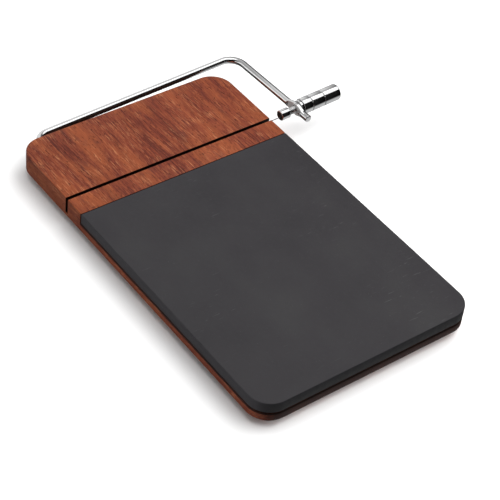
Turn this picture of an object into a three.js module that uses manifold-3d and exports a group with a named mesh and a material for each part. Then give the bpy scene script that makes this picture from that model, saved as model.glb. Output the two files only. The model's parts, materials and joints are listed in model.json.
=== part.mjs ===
// Cheese wire cutter: a wooden board with an inlaid stone slab and a swinging bow that
// carries a taut cutting wire down into a saw kerf.
// Millimetres, +Z up. X runs across the board, Y from its front edge to its back edge.

import * as THREE from 'three';
import { mergeVertices } from 'three/addons/utils/BufferGeometryUtils.js';
import Module from 'manifold-3d';

const wasm = await Module();
wasm.setup();
const { Manifold, Mesh: ManifoldMesh } = wasm;

// ---- driving dimensions -------------------------------------------------------------------

// Board
const BOARD_WIDTH = 152.4;
const BOARD_LENGTH = 256.4;
const BOARD_THICKNESS = 13.7;
const CORNER_RADIUS = 14.5;
const WOOD_EDGE = 0.6;
const LEDGE_THICKNESS = 6;
const LEDGE_LENGTH = 182.5;
const KERF_Y = 198.4;
const KERF_WIDTH = 2.4;
const KERF_FLOOR = 2.4;

// Slab and its bond
const SLAB_JOINT = 0.35;
const SLAB_EDGE = 0.6;
const BOND_THICKNESS = 0.4;
const BOND_INSET = 2;

// Feet: a screwed rubber foot, with the washer and screw head up inside it
const FOOT_HEIGHT = 5;
const FOOT_RADIUS = 6;
const FOOT_X = 48;
const FOOT_FROM_EDGE = 18;
const FOOT_RECESS_RADIUS = 3.3;
const FOOT_RECESS_HEIGHT = 2.9;
const FOOT_HOLE_RADIUS = 1.4;
const WASHER_RADIUS = 3;
const WASHER_HOLE_RADIUS = 1.45;
const WASHER_THICKNESS = 0.5;
const SCREW_RADIUS = 1.1;
const SCREW_HEAD_RADIUS = 2.3;
const SCREW_HEAD_HEIGHT = 1.2;
const SCREW_DEPTH = 4.2;
const PILOT_CLEARANCE = 0.25;

// Bow: distances along the bow are measured from its pivot axis
const ROD_RADIUS = 4.76 / 2;
const PIVOT_X = -58.5;
const PIVOT_HEIGHT = 7.5;
const PIVOT_TIP_Y = 189.8;
const PIVOT_BORE_RADIUS = 2.48;
const BOW_TILT = THREE.MathUtils.degToRad(2.35);
const CROSS_RUN_Y = 264.25;
const PIVOT_BEND_RADIUS = 8;
const LEG_BEND_RADIUS = 11;
const LEG_SPLAY = THREE.MathUtils.degToRad(2);
const EYE_REACH = 155.5;
const EYE_BACK = 8.6;
const EYE_FRONT = 6.7;
const EYE_HALF_THICKNESS = 1.3;
const EYE_HALF_HEIGHT = 4.5;
const EYE_HOLE_RADIUS = 2.5;
const STUB_END = 12.6;
const ROD_END_CHAMFER = 0.4;
const DIMPLE_RADIUS = 0.6;
const DIMPLE_DEPTH = 0.8;

// Wire and the two beads crimped on its ends
const WIRE_RADIUS = 0.28;
const WIRE_HOLE_RADIUS = 0.55;
const BEAD_RADIUS = 1;
const BEAD_HALF_LENGTH = 0.9;
const BEAD_HOLE_RADIUS = 0.34;
const WIRE_TAIL = 0.2;

// Tension hardware, all on the wire's own line
const HOLDER_REACH = 142.2;
const HOLDER_LENGTH = 6.5;
const HOLDER_RADIUS = 3.5;
const HOLDER_POCKET = 3.7;
const HOLDER_POCKET_RADIUS = 1.25;
const HOLDER_SLOT_WIDTH = 1;
const HOLDER_SLOT_ANGLE = THREE.MathUtils.degToRad(38);
const WIRE_OFFSET = 1;
const SHANK_RADIUS = 2.35;
const SHANK_END = 176.5;
const COLLAR_RADIUS = 5;
const COLLAR_THICKNESS = 1.7;
const FACE_GAP = 0.3;
const KNOB_LENGTH = 29.4;
const KNOB_RADIUS = 5.5;
const KNOB_BORE_RADIUS = 2.46;
const KNOB_BORE_DEPTH = 20.5;
const KNOB_END_RADIUS = 1.1;
const KNOB_GROOVES = [6.6, 16.4];
const GROOVE_HALF_WIDTH = 0.35;
const GROOVE_DEPTH = 0.35;

const ROUND_SIDES = 40;
const FOOT_SIDES = 28;
const SMALL_SIDES = 20;

// ---- materials ----------------------------------------------------------------------------

function material(color, roughness, metalness) {
  return new THREE.MeshStandardMaterial({ color, roughness, metalness });
}

const wood = material('#96533c', 0.5, 0);
const slate = material('#3f3d40', 0.85, 0);
const bond = material('#1c1a19', 0.7, 0);
const rubber = material('#1b1b1c', 0.85, 0);
const chrome = material('#d9dbdd', 0.08, 1);
const steel = material('#b4b2ae', 0.35, 1);

// ---- solid helpers ------------------------------------------------------------------------

function weld(geometry) {
  const bare = new THREE.BufferGeometry();
  bare.setAttribute('position', geometry.getAttribute('position').clone());
  if (geometry.index) {
    bare.setIndex(geometry.index.clone());
  }
  return mergeVertices(bare, 1e-4);
}

function toManifold(geometry) {
  const welded = weld(geometry);
  return new Manifold(new ManifoldMesh({
    numProp: 3,
    vertProperties: new Float32Array(welded.getAttribute('position').array),
    triVerts: new Uint32Array(welded.index.array),
  }));
}

function toGeometry(solid) {
  const mesh = solid.getMesh();
  const geometry = new THREE.BufferGeometry();
  geometry.setAttribute('position', new THREE.BufferAttribute(mesh.vertProperties, 3));
  geometry.setIndex(new THREE.BufferAttribute(mesh.triVerts, 1));
  return geometry;
}

function cutFrom(geometry, tools) {
  return toGeometry(tools.reduce(
    (solid, tool) => solid.subtract(toManifold(tool)),
    toManifold(geometry),
  ));
}

// A box between two corners.
function boxBetween(low, high) {
  const size = new THREE.Vector3().subVectors(high, low);
  const box = new THREE.BoxGeometry(size.x, size.y, size.z);
  return box.translate(low.x + size.x / 2, low.y + size.y / 2, low.z + size.z / 2);
}

// A closed turned solid about +Z from an outline of [radius, height] points, both ends on
// the axis or the outline closed on itself round a bore.
function turned(outline, sides = ROUND_SIDES) {
  const points = outline.map(([r, h]) => new THREE.Vector2(r, h));
  return weld(new THREE.LatheGeometry(points, sides)).rotateX(Math.PI / 2);
}

// The same, laid along +X, with heights counted as distances along X.
function turnedAlongX(outline, sides = ROUND_SIDES) {
  return turned(outline, sides).rotateY(Math.PI / 2);
}

function ring(outer, inner, start, end) {
  return [[inner, start], [outer, start], [outer, end], [inner, end], [inner, start]];
}

function cylinderAlong(axis, radius, length, sides = SMALL_SIDES) {
  const cylinder = new THREE.CylinderGeometry(radius, radius, length, sides);
  if (axis === 'x') {
    return cylinder.rotateZ(-Math.PI / 2);
  }
  return axis === 'z' ? cylinder.rotateX(Math.PI / 2) : cylinder;
}

function piece(name, geometry, look) {
  const mesh = new THREE.Mesh(geometry, look);
  mesh.name = name;
  return mesh;
}

// ---- board, slab and bond -----------------------------------------------------------------

// The plan outline from y = front to y = back, inset all round, with round front corners
// and, where asked, round back corners.
function planOutline(front, back, inset, roundBack) {
  const half = BOARD_WIDTH / 2 - inset;
  const r = CORNER_RADIUS - inset;
  const [y0, y1] = [front + inset, back - inset];
  const shape = new THREE.Shape();
  shape.absarc(half - r, y0 + r, r, -Math.PI / 2, 0);
  if (roundBack) {
    shape.absarc(half - r, y1 - r, r, 0, Math.PI / 2);
    shape.absarc(-half + r, y1 - r, r, Math.PI / 2, Math.PI);
  } else {
    shape.lineTo(half, y1);
    shape.lineTo(-half, y1);
  }
  shape.absarc(-half + r, y0 + r, r, Math.PI, 1.5 * Math.PI);
  shape.closePath();
  return shape;
}

// A flat plate between two heights, with its edges rounded over.
function plate(shape, bottom, top, edge) {
  const geometry = new THREE.ExtrudeGeometry(shape, {
    depth: top - bottom - 2 * edge,
    curveSegments: 10,
    bevelEnabled: edge > 0,
    bevelThickness: edge,
    bevelSize: edge,
    bevelOffset: -edge,
    bevelSegments: 3,
  });
  return geometry.translate(0, 0, bottom + edge);
}

function footPlaces() {
  const places = [];
  for (const [row, y] of [['front', FOOT_FROM_EDGE], ['back', BOARD_LENGTH - FOOT_FROM_EDGE]]) {
    for (const [side, x] of [['left', -FOOT_X], ['right', FOOT_X]]) {
      places.push({ label: `${row}_${side}`, x, y });
    }
  }
  return places;
}

function woodBoard() {
  const outline = planOutline(0, BOARD_LENGTH, 0, true);
  const blank = plate(outline, 0, BOARD_THICKNESS, WOOD_EDGE);
  const beyond = BOARD_WIDTH;
  const rabbet = boxBetween(
    new THREE.Vector3(-beyond, -beyond, LEDGE_THICKNESS),
    new THREE.Vector3(beyond, LEDGE_LENGTH, BOARD_THICKNESS * 2),
  );
  const kerf = boxBetween(
    new THREE.Vector3(-beyond, KERF_Y - KERF_WIDTH / 2, KERF_FLOOR),
    new THREE.Vector3(beyond, KERF_Y + KERF_WIDTH / 2, BOARD_THICKNESS * 2),
  );
  const boreStart = PIVOT_TIP_Y - 1;
  const boreLength = BOARD_LENGTH + 5 - boreStart;
  const bore = cylinderAlong('y', PIVOT_BORE_RADIUS, boreLength, ROUND_SIDES);
  bore.translate(PIVOT_X, boreStart + boreLength / 2, PIVOT_HEIGHT);
  const pilots = footPlaces().map(({ x, y }) => {
    const depth = SCREW_DEPTH + PILOT_CLEARANCE;
    const pilot = cylinderAlong('z', SCREW_RADIUS + PILOT_CLEARANCE, 2 * depth);
    return pilot.translate(x, y, 0);
  });
  return piece('wood_board', cutFrom(blank, [rabbet, kerf, bore, ...pilots]), wood);
}

function stoneSlab() {
  const outline = planOutline(0, LEDGE_LENGTH - SLAB_JOINT, 0, false);
  const bottom = LEDGE_THICKNESS + BOND_THICKNESS;
  return piece('stone_slab', weld(plate(outline, bottom, BOARD_THICKNESS, SLAB_EDGE)), slate);
}

function slabBond() {
  const outline = planOutline(0, LEDGE_LENGTH - SLAB_JOINT, BOND_INSET, false);
  const film = plate(outline, LEDGE_THICKNESS, LEDGE_THICKNESS + BOND_THICKNESS, 0);
  return piece('slab_adhesive', weld(film), bond);
}

// ---- feet ---------------------------------------------------------------------------------

function footPieces({ label, x, y }) {
  const roof = -FOOT_HEIGHT + FOOT_RECESS_HEIGHT;
  const foot = turned([
    [FOOT_RECESS_RADIUS, -FOOT_HEIGHT],
    [FOOT_RADIUS - 1, -FOOT_HEIGHT],
    [FOOT_RADIUS - 0.5, -FOOT_HEIGHT + 0.5],
    [FOOT_RADIUS, 0],
    [FOOT_HOLE_RADIUS, 0],
    [FOOT_HOLE_RADIUS, roof],
    [FOOT_RECESS_RADIUS, roof],
    [FOOT_RECESS_RADIUS, -FOOT_HEIGHT],
  ], FOOT_SIDES);
  const washerFace = roof - WASHER_THICKNESS;
  const washerOutline = ring(WASHER_RADIUS, WASHER_HOLE_RADIUS, washerFace, roof);
  const washer = turned(washerOutline, SMALL_SIDES);
  const headFace = washerFace - SCREW_HEAD_HEIGHT;
  const screw = turned([
    [0, headFace],
    [SCREW_HEAD_RADIUS * 0.6, headFace],
    [SCREW_HEAD_RADIUS * 0.9, headFace + 0.3],
    [SCREW_HEAD_RADIUS, headFace + 0.7],
    [SCREW_HEAD_RADIUS, washerFace],
    [SCREW_RADIUS, washerFace],
    [SCREW_RADIUS, SCREW_DEPTH - 1],
    [0, SCREW_DEPTH],
  ], SMALL_SIDES);
  const recesses = [[2.4, 0.5], [0.5, 2.4]].map(([width, depth]) => {
    const bar = new THREE.BoxGeometry(width, depth, 1.2);
    return bar.translate(0, 0, headFace);
  });
  const meshes = [
    piece(`foot_${label}`, foot, rubber),
    piece(`foot_washer_${label}`, washer, steel),
    piece(`foot_screw_${label}`, cutFrom(screw, recesses), steel),
  ];
  meshes.forEach((mesh) => mesh.position.set(x, y, 0));
  return meshes;
}

// ---- bow ----------------------------------------------------------------------------------

// One rod section: where its centre is, which way the rod runs there, its half width across
// the run, its half height, and how square it is (2 is round).
function section(x, y, heading, half = ROD_RADIUS, height = ROD_RADIUS, squareness = 2) {
  return { x, y, heading, half, height, squareness };
}

// Sections round a right-hand bend, from one heading to the next.
function bend(centreX, centreY, radius, from, to, steps) {
  return Array.from({ length: steps + 1 }, (_, i) => {
    const heading = THREE.MathUtils.lerp(from, to, i / steps);
    const x = centreX - radius * Math.sin(heading);
    const y = centreY + radius * Math.cos(heading);
    return section(x, y, heading);
  });
}

// The rod is pressed flat round the eye, longer on the side towards the cross run.
function eyeSection(place, distance, heading) {
  const u = distance < 0 ? -distance / EYE_BACK : distance / EYE_FRONT;
  const flat = THREE.MathUtils.smoothstep(1 - u, 0, 0.2);
  const swell = Math.cos((u * Math.PI) / 2) ** 1.3;
  return section(
    place.x,
    place.y,
    heading,
    THREE.MathUtils.lerp(ROD_RADIUS, EYE_HALF_THICKNESS, flat),
    THREE.MathUtils.lerp(ROD_RADIUS, EYE_HALF_HEIGHT, swell),
    THREE.MathUtils.lerp(2, 6, flat),
  );
}

function bowSections() {
  const north = Math.PI / 2;
  const legHeading = -Math.PI / 2 + LEG_SPLAY;
  const along = new THREE.Vector2(Math.cos(legHeading), Math.sin(legHeading));
  const eye = new THREE.Vector2(EYE_REACH, KERF_Y);
  const onLeg = (distance) => along.clone().multiplyScalar(distance).add(eye);

  const corner = onLeg((CROSS_RUN_Y - KERF_Y) / along.y);
  const tangent = LEG_BEND_RADIUS * Math.tan(-legHeading / 2);
  const sections = [
    section(0, PIVOT_TIP_Y, north),
    ...bend(
      PIVOT_BEND_RADIUS,
      CROSS_RUN_Y - PIVOT_BEND_RADIUS,
      PIVOT_BEND_RADIUS,
      north,
      0,
      10,
    ),
    ...bend(corner.x - tangent, CROSS_RUN_Y - LEG_BEND_RADIUS, LEG_BEND_RADIUS, 0, legHeading, 10),
  ];
  const eyeSteps = 24;
  for (let i = 0; i <= eyeSteps; i += 1) {
    const distance = THREE.MathUtils.lerp(-EYE_BACK, EYE_FRONT, i / eyeSteps);
    sections.push(eyeSection(onLeg(distance), distance, legHeading));
  }
  const stub = onLeg(STUB_END);
  sections.push(section(stub.x, stub.y, legHeading));
  return sections;
}

// Both cut ends of the rod get a small chamfer.
function withChamferedEnds(sections) {
  const chamfered = (end, outward) => {
    const x = end.x + outward * ROD_END_CHAMFER * Math.cos(end.heading);
    const y = end.y + outward * ROD_END_CHAMFER * Math.sin(end.heading);
    return section(x, y, end.heading);
  };
  const [first, last] = [sections[0], sections.at(-1)];
  const small = ROD_RADIUS - ROD_END_CHAMFER;
  return [
    { ...first, half: small, height: small },
    chamfered(first, 1),
    ...sections.slice(1, -1),
    chamfered(last, -1),
    { ...last, half: small, height: small },
  ];
}

// A closed skin over a row of sections that all lie in the plane z = 0.
function sweptRod(sections, sides) {
  const positions = [];
  const index = [];
  const rounded = (value, squareness) => Math.sign(value) * Math.abs(value) ** (2 / squareness);
  for (const { x, y, heading, half, height, squareness } of sections) {
    for (let i = 0; i < sides; i += 1) {
      const angle = (2 * Math.PI * (i + 0.5)) / sides;
      const across = half * rounded(Math.cos(angle), squareness);
      const up = height * rounded(Math.sin(angle), squareness);
      positions.push(x + across * Math.sin(heading), y - across * Math.cos(heading), up);
    }
  }
  for (let s = 0; s < sections.length - 1; s += 1) {
    for (let i = 0; i < sides; i += 1) {
      const a = s * sides + i;
      const b = s * sides + ((i + 1) % sides);
      index.push(a, b + sides, b, a, a + sides, b + sides);
    }
  }
  const endFan = (start, reverse) => {
    for (let i = 1; i < sides - 1; i += 1) {
      const fan = [start, start + i, start + i + 1];
      index.push(...(reverse ? fan.reverse() : fan));
    }
  };
  endFan(0, false);
  endFan((sections.length - 1) * sides, true);
  const geometry = new THREE.BufferGeometry();
  geometry.setAttribute('position', new THREE.Float32BufferAttribute(positions, 3));
  geometry.setIndex(index);
  return geometry;
}

function wireBow() {
  const rod = sweptRod(withChamferedEnds(bowSections()), 28);
  const eyeHole = cylinderAlong('x', EYE_HOLE_RADIUS, 8, ROUND_SIDES);
  eyeHole.translate(EYE_REACH, KERF_Y, 0);
  const wireHole = cylinderAlong('x', WIRE_HOLE_RADIUS, 4 * ROD_RADIUS, 16);
  wireHole.translate(0, KERF_Y, 0);
  const dimple = cylinderAlong('x', DIMPLE_RADIUS, 2 * DIMPLE_DEPTH, 12);
  dimple.translate(EYE_REACH - EYE_HALF_THICKNESS, KERF_Y - 4, -1);
  return piece('wire_bow', cutFrom(rod, [eyeHole, wireHole, dimple]), chrome);
}

// ---- wire and its beads -------------------------------------------------------------------

// The wire runs from the pivot axis to a point below the holder's axis, down its slot.
const WIRE_RISE = new THREE.Vector3(
  HOLDER_REACH + HOLDER_POCKET,
  -WIRE_OFFSET * Math.sin(HOLDER_SLOT_ANGLE),
  -WIRE_OFFSET * Math.cos(HOLDER_SLOT_ANGLE),
);
const PIVOT_BEAD = -(ROD_RADIUS + BEAD_HALF_LENGTH + 0.1);
const HOLDER_BEAD = WIRE_RISE.length() - 0.1;

function cuttingWire() {
  const start = PIVOT_BEAD - BEAD_HALF_LENGTH - WIRE_TAIL;
  const end = HOLDER_BEAD + BEAD_HALF_LENGTH;
  const wire = cylinderAlong('x', WIRE_RADIUS, end - start, 16);
  wire.translate((start + end) / 2, 0, 0);
  return piece('cutting_wire', weld(wire), steel);
}

function wireBead(name, reach) {
  const steps = 8;
  const widest = Math.asin(BEAD_HALF_LENGTH / BEAD_RADIUS);
  const outline = [[BEAD_HOLE_RADIUS, -BEAD_HALF_LENGTH]];
  for (let i = 0; i <= steps; i += 1) {
    const angle = THREE.MathUtils.lerp(-widest, widest, i / steps);
    outline.push([BEAD_RADIUS * Math.cos(angle), BEAD_RADIUS * Math.sin(angle)]);
  }
  outline.push([BEAD_HOLE_RADIUS, BEAD_HALF_LENGTH], [BEAD_HOLE_RADIUS, -BEAD_HALF_LENGTH]);
  return piece(name, turnedAlongX(outline, 16).translate(reach, 0, 0), steel);
}

function wireLine() {
  const line = new THREE.Group();
  line.name = 'wire_line';
  line.position.set(0, KERF_Y, 0);
  line.quaternion.setFromUnitVectors(new THREE.Vector3(1, 0, 0), WIRE_RISE.clone().normalize());
  line.add(
    cuttingWire(),
    wireBead('wire_bead_pivot', PIVOT_BEAD),
    wireBead('wire_bead_holder', HOLDER_BEAD),
  );
  return line;
}

// ---- tension hardware ---------------------------------------------------------------------

// The slotted wire holder and its threaded shank are one turned part.
function wireHolder() {
  const shoulder = HOLDER_REACH + HOLDER_LENGTH;
  const holder = turnedAlongX([
    [0, HOLDER_REACH],
    [HOLDER_RADIUS - 0.4, HOLDER_REACH],
    [HOLDER_RADIUS, HOLDER_REACH + 0.4],
    [HOLDER_RADIUS, shoulder - 0.3],
    [HOLDER_RADIUS - 0.3, shoulder],
    [SHANK_RADIUS, shoulder],
    [SHANK_RADIUS, SHANK_END - 0.6],
    [SHANK_RADIUS - 0.6, SHANK_END],
    [0, SHANK_END],
  ]);
  const pocketCentre = HOLDER_REACH + HOLDER_POCKET;
  const past = HOLDER_RADIUS + 1;
  const slot = boxBetween(
    new THREE.Vector3(HOLDER_REACH - 1, -HOLDER_SLOT_WIDTH / 2, -past),
    new THREE.Vector3(pocketCentre, HOLDER_SLOT_WIDTH / 2, HOLDER_SLOT_WIDTH / 2 - WIRE_OFFSET),
  );
  const pocketFloor = HOLDER_POCKET_RADIUS - WIRE_OFFSET;
  const pocketLength = past + pocketFloor;
  const pocket = cylinderAlong('z', HOLDER_POCKET_RADIUS, pocketLength);
  pocket.translate(pocketCentre, 0, pocketFloor - pocketLength / 2);
  for (const cutter of [slot, pocket]) {
    cutter.rotateX(-HOLDER_SLOT_ANGLE);
  }
  const geometry = cutFrom(holder, [slot, pocket]).translate(0, KERF_Y, 0);
  return piece('wire_holder', geometry, chrome);
}

const COLLAR_START = EYE_REACH + EYE_HALF_THICKNESS + FACE_GAP;
const KNOB_START = COLLAR_START + COLLAR_THICKNESS + FACE_GAP;

function thrustCollar() {
  const end = COLLAR_START + COLLAR_THICKNESS;
  const outline = [
    [EYE_HOLE_RADIUS, COLLAR_START],
    [COLLAR_RADIUS - 0.3, COLLAR_START],
    [COLLAR_RADIUS, COLLAR_START + 0.3],
    [COLLAR_RADIUS, end - 0.3],
    [COLLAR_RADIUS - 0.3, end],
    [EYE_HOLE_RADIUS, end],
    [EYE_HOLE_RADIUS, COLLAR_START],
  ];
  return piece('thrust_collar', turnedAlongX(outline).translate(0, KERF_Y, 0), steel);
}

function tensionKnob() {
  const end = KNOB_START + KNOB_LENGTH;
  const outline = [
    [KNOB_BORE_RADIUS, KNOB_START],
    [KNOB_RADIUS - 0.5, KNOB_START],
    [KNOB_RADIUS, KNOB_START + 0.5],
  ];
  for (const groove of KNOB_GROOVES) {
    const middle = KNOB_START + groove;
    outline.push(
      [KNOB_RADIUS, middle - GROOVE_HALF_WIDTH],
      [KNOB_RADIUS - GROOVE_DEPTH, middle],
      [KNOB_RADIUS, middle + GROOVE_HALF_WIDTH],
    );
  }
  const steps = 5;
  for (let i = 0; i <= steps; i += 1) {
    const angle = (Math.PI / 2) * (i / steps);
    outline.push([
      KNOB_RADIUS - KNOB_END_RADIUS * (1 - Math.cos(angle)),
      end - KNOB_END_RADIUS * (1 - Math.sin(angle)),
    ]);
  }
  outline.push(
    [0, end],
    [0, KNOB_START + KNOB_BORE_DEPTH],
    [KNOB_BORE_RADIUS, KNOB_START + KNOB_BORE_DEPTH],
    [KNOB_BORE_RADIUS, KNOB_START],
  );
  return piece('tension_knob', turnedAlongX(outline).translate(0, KERF_Y, 0), chrome);
}

// ---- assembly -----------------------------------------------------------------------------

const boardGroup = new THREE.Group();
boardGroup.name = 'board';
boardGroup.add(woodBoard(), stoneSlab(), slabBond(), ...footPlaces().flatMap(footPieces));

const bowGroup = new THREE.Group();
bowGroup.name = 'bow';
bowGroup.position.set(PIVOT_X, 0, PIVOT_HEIGHT);
bowGroup.rotation.y = -BOW_TILT;
bowGroup.add(
  wireBow(),
  wireLine(),
  wireHolder(),
  thrustCollar(),
  tensionKnob(),
);

const cutter = new THREE.Group();
cutter.name = 'cheese_wire_cutter';
cutter.add(boardGroup, bowGroup);

// The origin is the bottom centre of the whole object's box.
cutter.updateMatrixWorld(true);
const box = new THREE.Box3().setFromObject(cutter, true);
const centre = box.getCenter(new THREE.Vector3());
cutter.position.set(-centre.x, -centre.y, -box.min.z);
cutter.updateMatrixWorld(true);

export default cutter;
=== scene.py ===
# Cheese wire cutter: a wooden board with an inlaid stone slab and a swinging bow.
# Lengths are in millimetres until a piece is placed; the frame is in metres.

import json
import math

import bmesh
import bpy
from mathutils import Matrix, Vector


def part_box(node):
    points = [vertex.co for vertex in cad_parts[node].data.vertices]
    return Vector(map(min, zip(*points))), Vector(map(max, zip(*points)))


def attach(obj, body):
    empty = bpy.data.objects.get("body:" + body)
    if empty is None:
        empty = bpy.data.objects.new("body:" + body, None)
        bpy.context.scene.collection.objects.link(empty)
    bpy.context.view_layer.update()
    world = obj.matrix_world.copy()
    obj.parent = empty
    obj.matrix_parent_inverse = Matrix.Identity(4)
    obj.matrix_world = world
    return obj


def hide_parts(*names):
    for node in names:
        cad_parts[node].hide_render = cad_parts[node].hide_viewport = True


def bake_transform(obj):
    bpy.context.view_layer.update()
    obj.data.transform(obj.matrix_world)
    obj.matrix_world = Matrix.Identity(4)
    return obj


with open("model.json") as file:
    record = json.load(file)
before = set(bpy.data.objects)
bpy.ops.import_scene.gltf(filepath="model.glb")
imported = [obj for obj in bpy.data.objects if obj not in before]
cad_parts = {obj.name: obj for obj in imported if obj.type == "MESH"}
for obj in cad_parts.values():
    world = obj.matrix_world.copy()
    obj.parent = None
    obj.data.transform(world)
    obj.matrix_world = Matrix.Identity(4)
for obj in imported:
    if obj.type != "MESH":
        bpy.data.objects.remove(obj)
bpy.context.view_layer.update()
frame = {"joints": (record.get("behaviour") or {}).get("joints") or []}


MM = 0.001
NEAR = 1e-3
JOINTS = {joint["name"]: joint for joint in frame["joints"]}


# ---- where things are ---------------------------------------------------------------------

def extent(node):
    """Lowest and highest corners of a CAD node, in millimetres."""
    low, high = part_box(node)
    return low / MM, high / MM


WOOD_LOW, WOOD_HIGH = extent("wood_board")
SLAB_LOW, SLAB_HIGH = extent("stone_slab")
BOND_LOW = extent("slab_adhesive")[0]
FOOT_LOW = extent("foot_front_left")[0]

# The board's own frame: X from its centre line, Y from its front edge, Z from its underside.
BOARD_ORIGIN = Vector(((WOOD_LOW.x + WOOD_HIGH.x) / 2, WOOD_LOW.y, WOOD_LOW.z))
BOARD = Matrix.Scale(MM, 4) @ Matrix.Translation(BOARD_ORIGIN)

# The bow's own frame: X along the hardware from the pivot axis, Y as the board's.
PIVOT = Vector(JOINTS["bow_swing"]["pos_m"]) / MM
HARDWARE_AXIS = -Vector(JOINTS["knob_turn"]["axis"])
BOW_ORIGIN = Vector((PIVOT.x, WOOD_LOW.y, PIVOT.z))
BOW_TURN = Matrix.Rotation(-math.atan2(HARDWARE_AXIS.z, HARDWARE_AXIS.x), 4, "Y")
BOW = Matrix.Scale(MM, 4) @ Matrix.Translation(BOW_ORIGIN) @ BOW_TURN

BOARD_WIDTH = WOOD_HIGH.x - WOOD_LOW.x
BOARD_LENGTH = WOOD_HIGH.y - WOOD_LOW.y
BOARD_THICKNESS = WOOD_HIGH.z - WOOD_LOW.z
CORNER_RADIUS = 14.5
LEDGE = BOND_LOW.z - WOOD_LOW.z
SLAB_LENGTH = SLAB_HIGH.y - WOOD_LOW.y
SLAB_UNDERSIDE = SLAB_LOW.z - WOOD_LOW.z
SLAB_JOINT = 0.35
LEDGE_LENGTH = SLAB_LENGTH + SLAB_JOINT
BOND_INSET = 2.0
KERF_Y = PIVOT.y - WOOD_LOW.y
KERF_HALF_WIDTH = 1.2
KERF_FLOOR = 2.4
PIVOT_X = PIVOT.x - BOARD_ORIGIN.x
PIVOT_HEIGHT = PIVOT.z - BOARD_ORIGIN.z
PIVOT_TIP_Y = 189.8
PIVOT_BORE_RADIUS = 2.48

FOOT_RADIUS = 6.0
FOOT_TIP_RADIUS = 5.0
FOOT_RECESS_RADIUS = 3.3
FOOT_RECESS_HEIGHT = 2.9
FOOT_HOLE_RADIUS = 1.4
WASHER_RADIUS = 3.0
WASHER_HOLE_RADIUS = 1.45
WASHER_THICKNESS = 0.5
SCREW_RADIUS = 1.1
SCREW_DEPTH = 4.2
SCREW_PITCH = 1.0
SCREW_THREAD_DEPTH = 0.28
SCREW_HEAD_RADIUS = 2.3
SCREW_HEAD_HEIGHT = 1.2
PILOT_RADIUS = 1.35
PILOT_DEPTH = 4.45

CAD_ROD_RADIUS = 2.38
ROD_RADIUS = 2.37  # a hair under the CAD rod, whose mesh is coarser
ROD_END = ((0, 0.42), (0.1, 0.18), (0.3, 0.03), (0.55, 0))  # (distance in, how much narrower)
CROSS_RUN_Y = 264.25
PIVOT_BEND_RADIUS = 8
LEG_BEND_RADIUS = 11
LEG_SPLAY = math.radians(2)
EYE_REACH = (Vector(JOINTS["knob_turn"]["pos_m"]) / MM - PIVOT).length
EYE_BACK = 8.6
EYE_FRONT = 6.7
EYE_HALF_THICKNESS = 1.3
EYE_HALF_HEIGHT = 4.5
EYE_HOLE_RADIUS = 2.5
STUB_END = 12.6

HOLDER_START = 142.2
HOLDER_LENGTH = 6.5
HOLDER_RADIUS = 3.5
HOLDER_POCKET = 3.7
POCKET_RADIUS = 1.25
SLOT_WIDTH = 1.0
SLOT_ANGLE = math.radians(38)
SHANK_RADIUS = 2.35
SHANK_END = 176.5
THREAD_PITCH = 0.8
THREAD_DEPTH = 0.34
WIRE_RADIUS = 0.28
WIRE_OFFSET = 1.0
BEAD_RADIUS = 1.0
BEAD_HALF_LENGTH = 0.9

COLLAR_START = 157.1
COLLAR_END = 158.8
COLLAR_RADIUS = 5.0
KNOB_START = 159.1
KNOB_END = 188.5
KNOB_RADIUS = 5.5
KNOB_END_RADIUS = 1.1
KNOB_BORE_RADIUS = 2.46
KNOB_BORE_DEPTH = 20.5
KNOB_GROOVES = (6.6, 16.4)
GROOVE_HALF_WIDTH = 0.48
GROOVE_FLOOR_HALF_WIDTH = 0.12
GROOVE_DEPTH = 0.42


def foot_places():
    """Each foot's label, and the middle of it in the board's own frame."""
    for label in ("front_left", "front_right", "back_left", "back_right"):
        low, high = extent("foot_" + label)
        middle = (low + high) / 2 - BOARD_ORIGIN
        yield label, middle.x, middle.y


FEET = list(foot_places())


# ---- mesh helpers -------------------------------------------------------------------------

def lerp(a, b, t):
    return a + (b - a) * t


def smoothstep(t, low=0.0, high=1.0):
    t = min(1.0, max(0.0, (t - low) / (high - low)))
    return t * t * (3 - 2 * t)


def grid_solid(rings, closed=False):
    """A solid skin over rings of points; its two ends are filled, or joined to each other."""
    bm = bmesh.new()
    rows = [[bm.verts.new(point) for point in ring] for ring in rings]
    sides = len(rows[0])
    for a, b in zip(rows, rows[1:] + (rows[:1] if closed else [])):
        for i in range(sides):
            j = (i + 1) % sides
            bm.faces.new((a[i], a[j], b[j], b[i]))
    if not closed:
        bm.faces.new(rows[0][::-1])
        bm.faces.new(rows[-1])
    bmesh.ops.recalc_face_normals(bm, faces=bm.faces)
    return bm


def around(axis, along, radius, angle):
    """A point at an angle round the X or Z axis."""
    c, s = radius * math.cos(angle), radius * math.sin(angle)
    return (along, c, s) if axis == "X" else (c, s, along)


def turned(outline, axis="X", sides=96, closed=False):
    """A turned solid from (distance along the axis, radius) points."""
    rings = [[around(axis, along, radius, 2 * math.pi * i / sides) for i in range(sides)]
             for along, radius in outline]
    return grid_solid(rings, closed)


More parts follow.
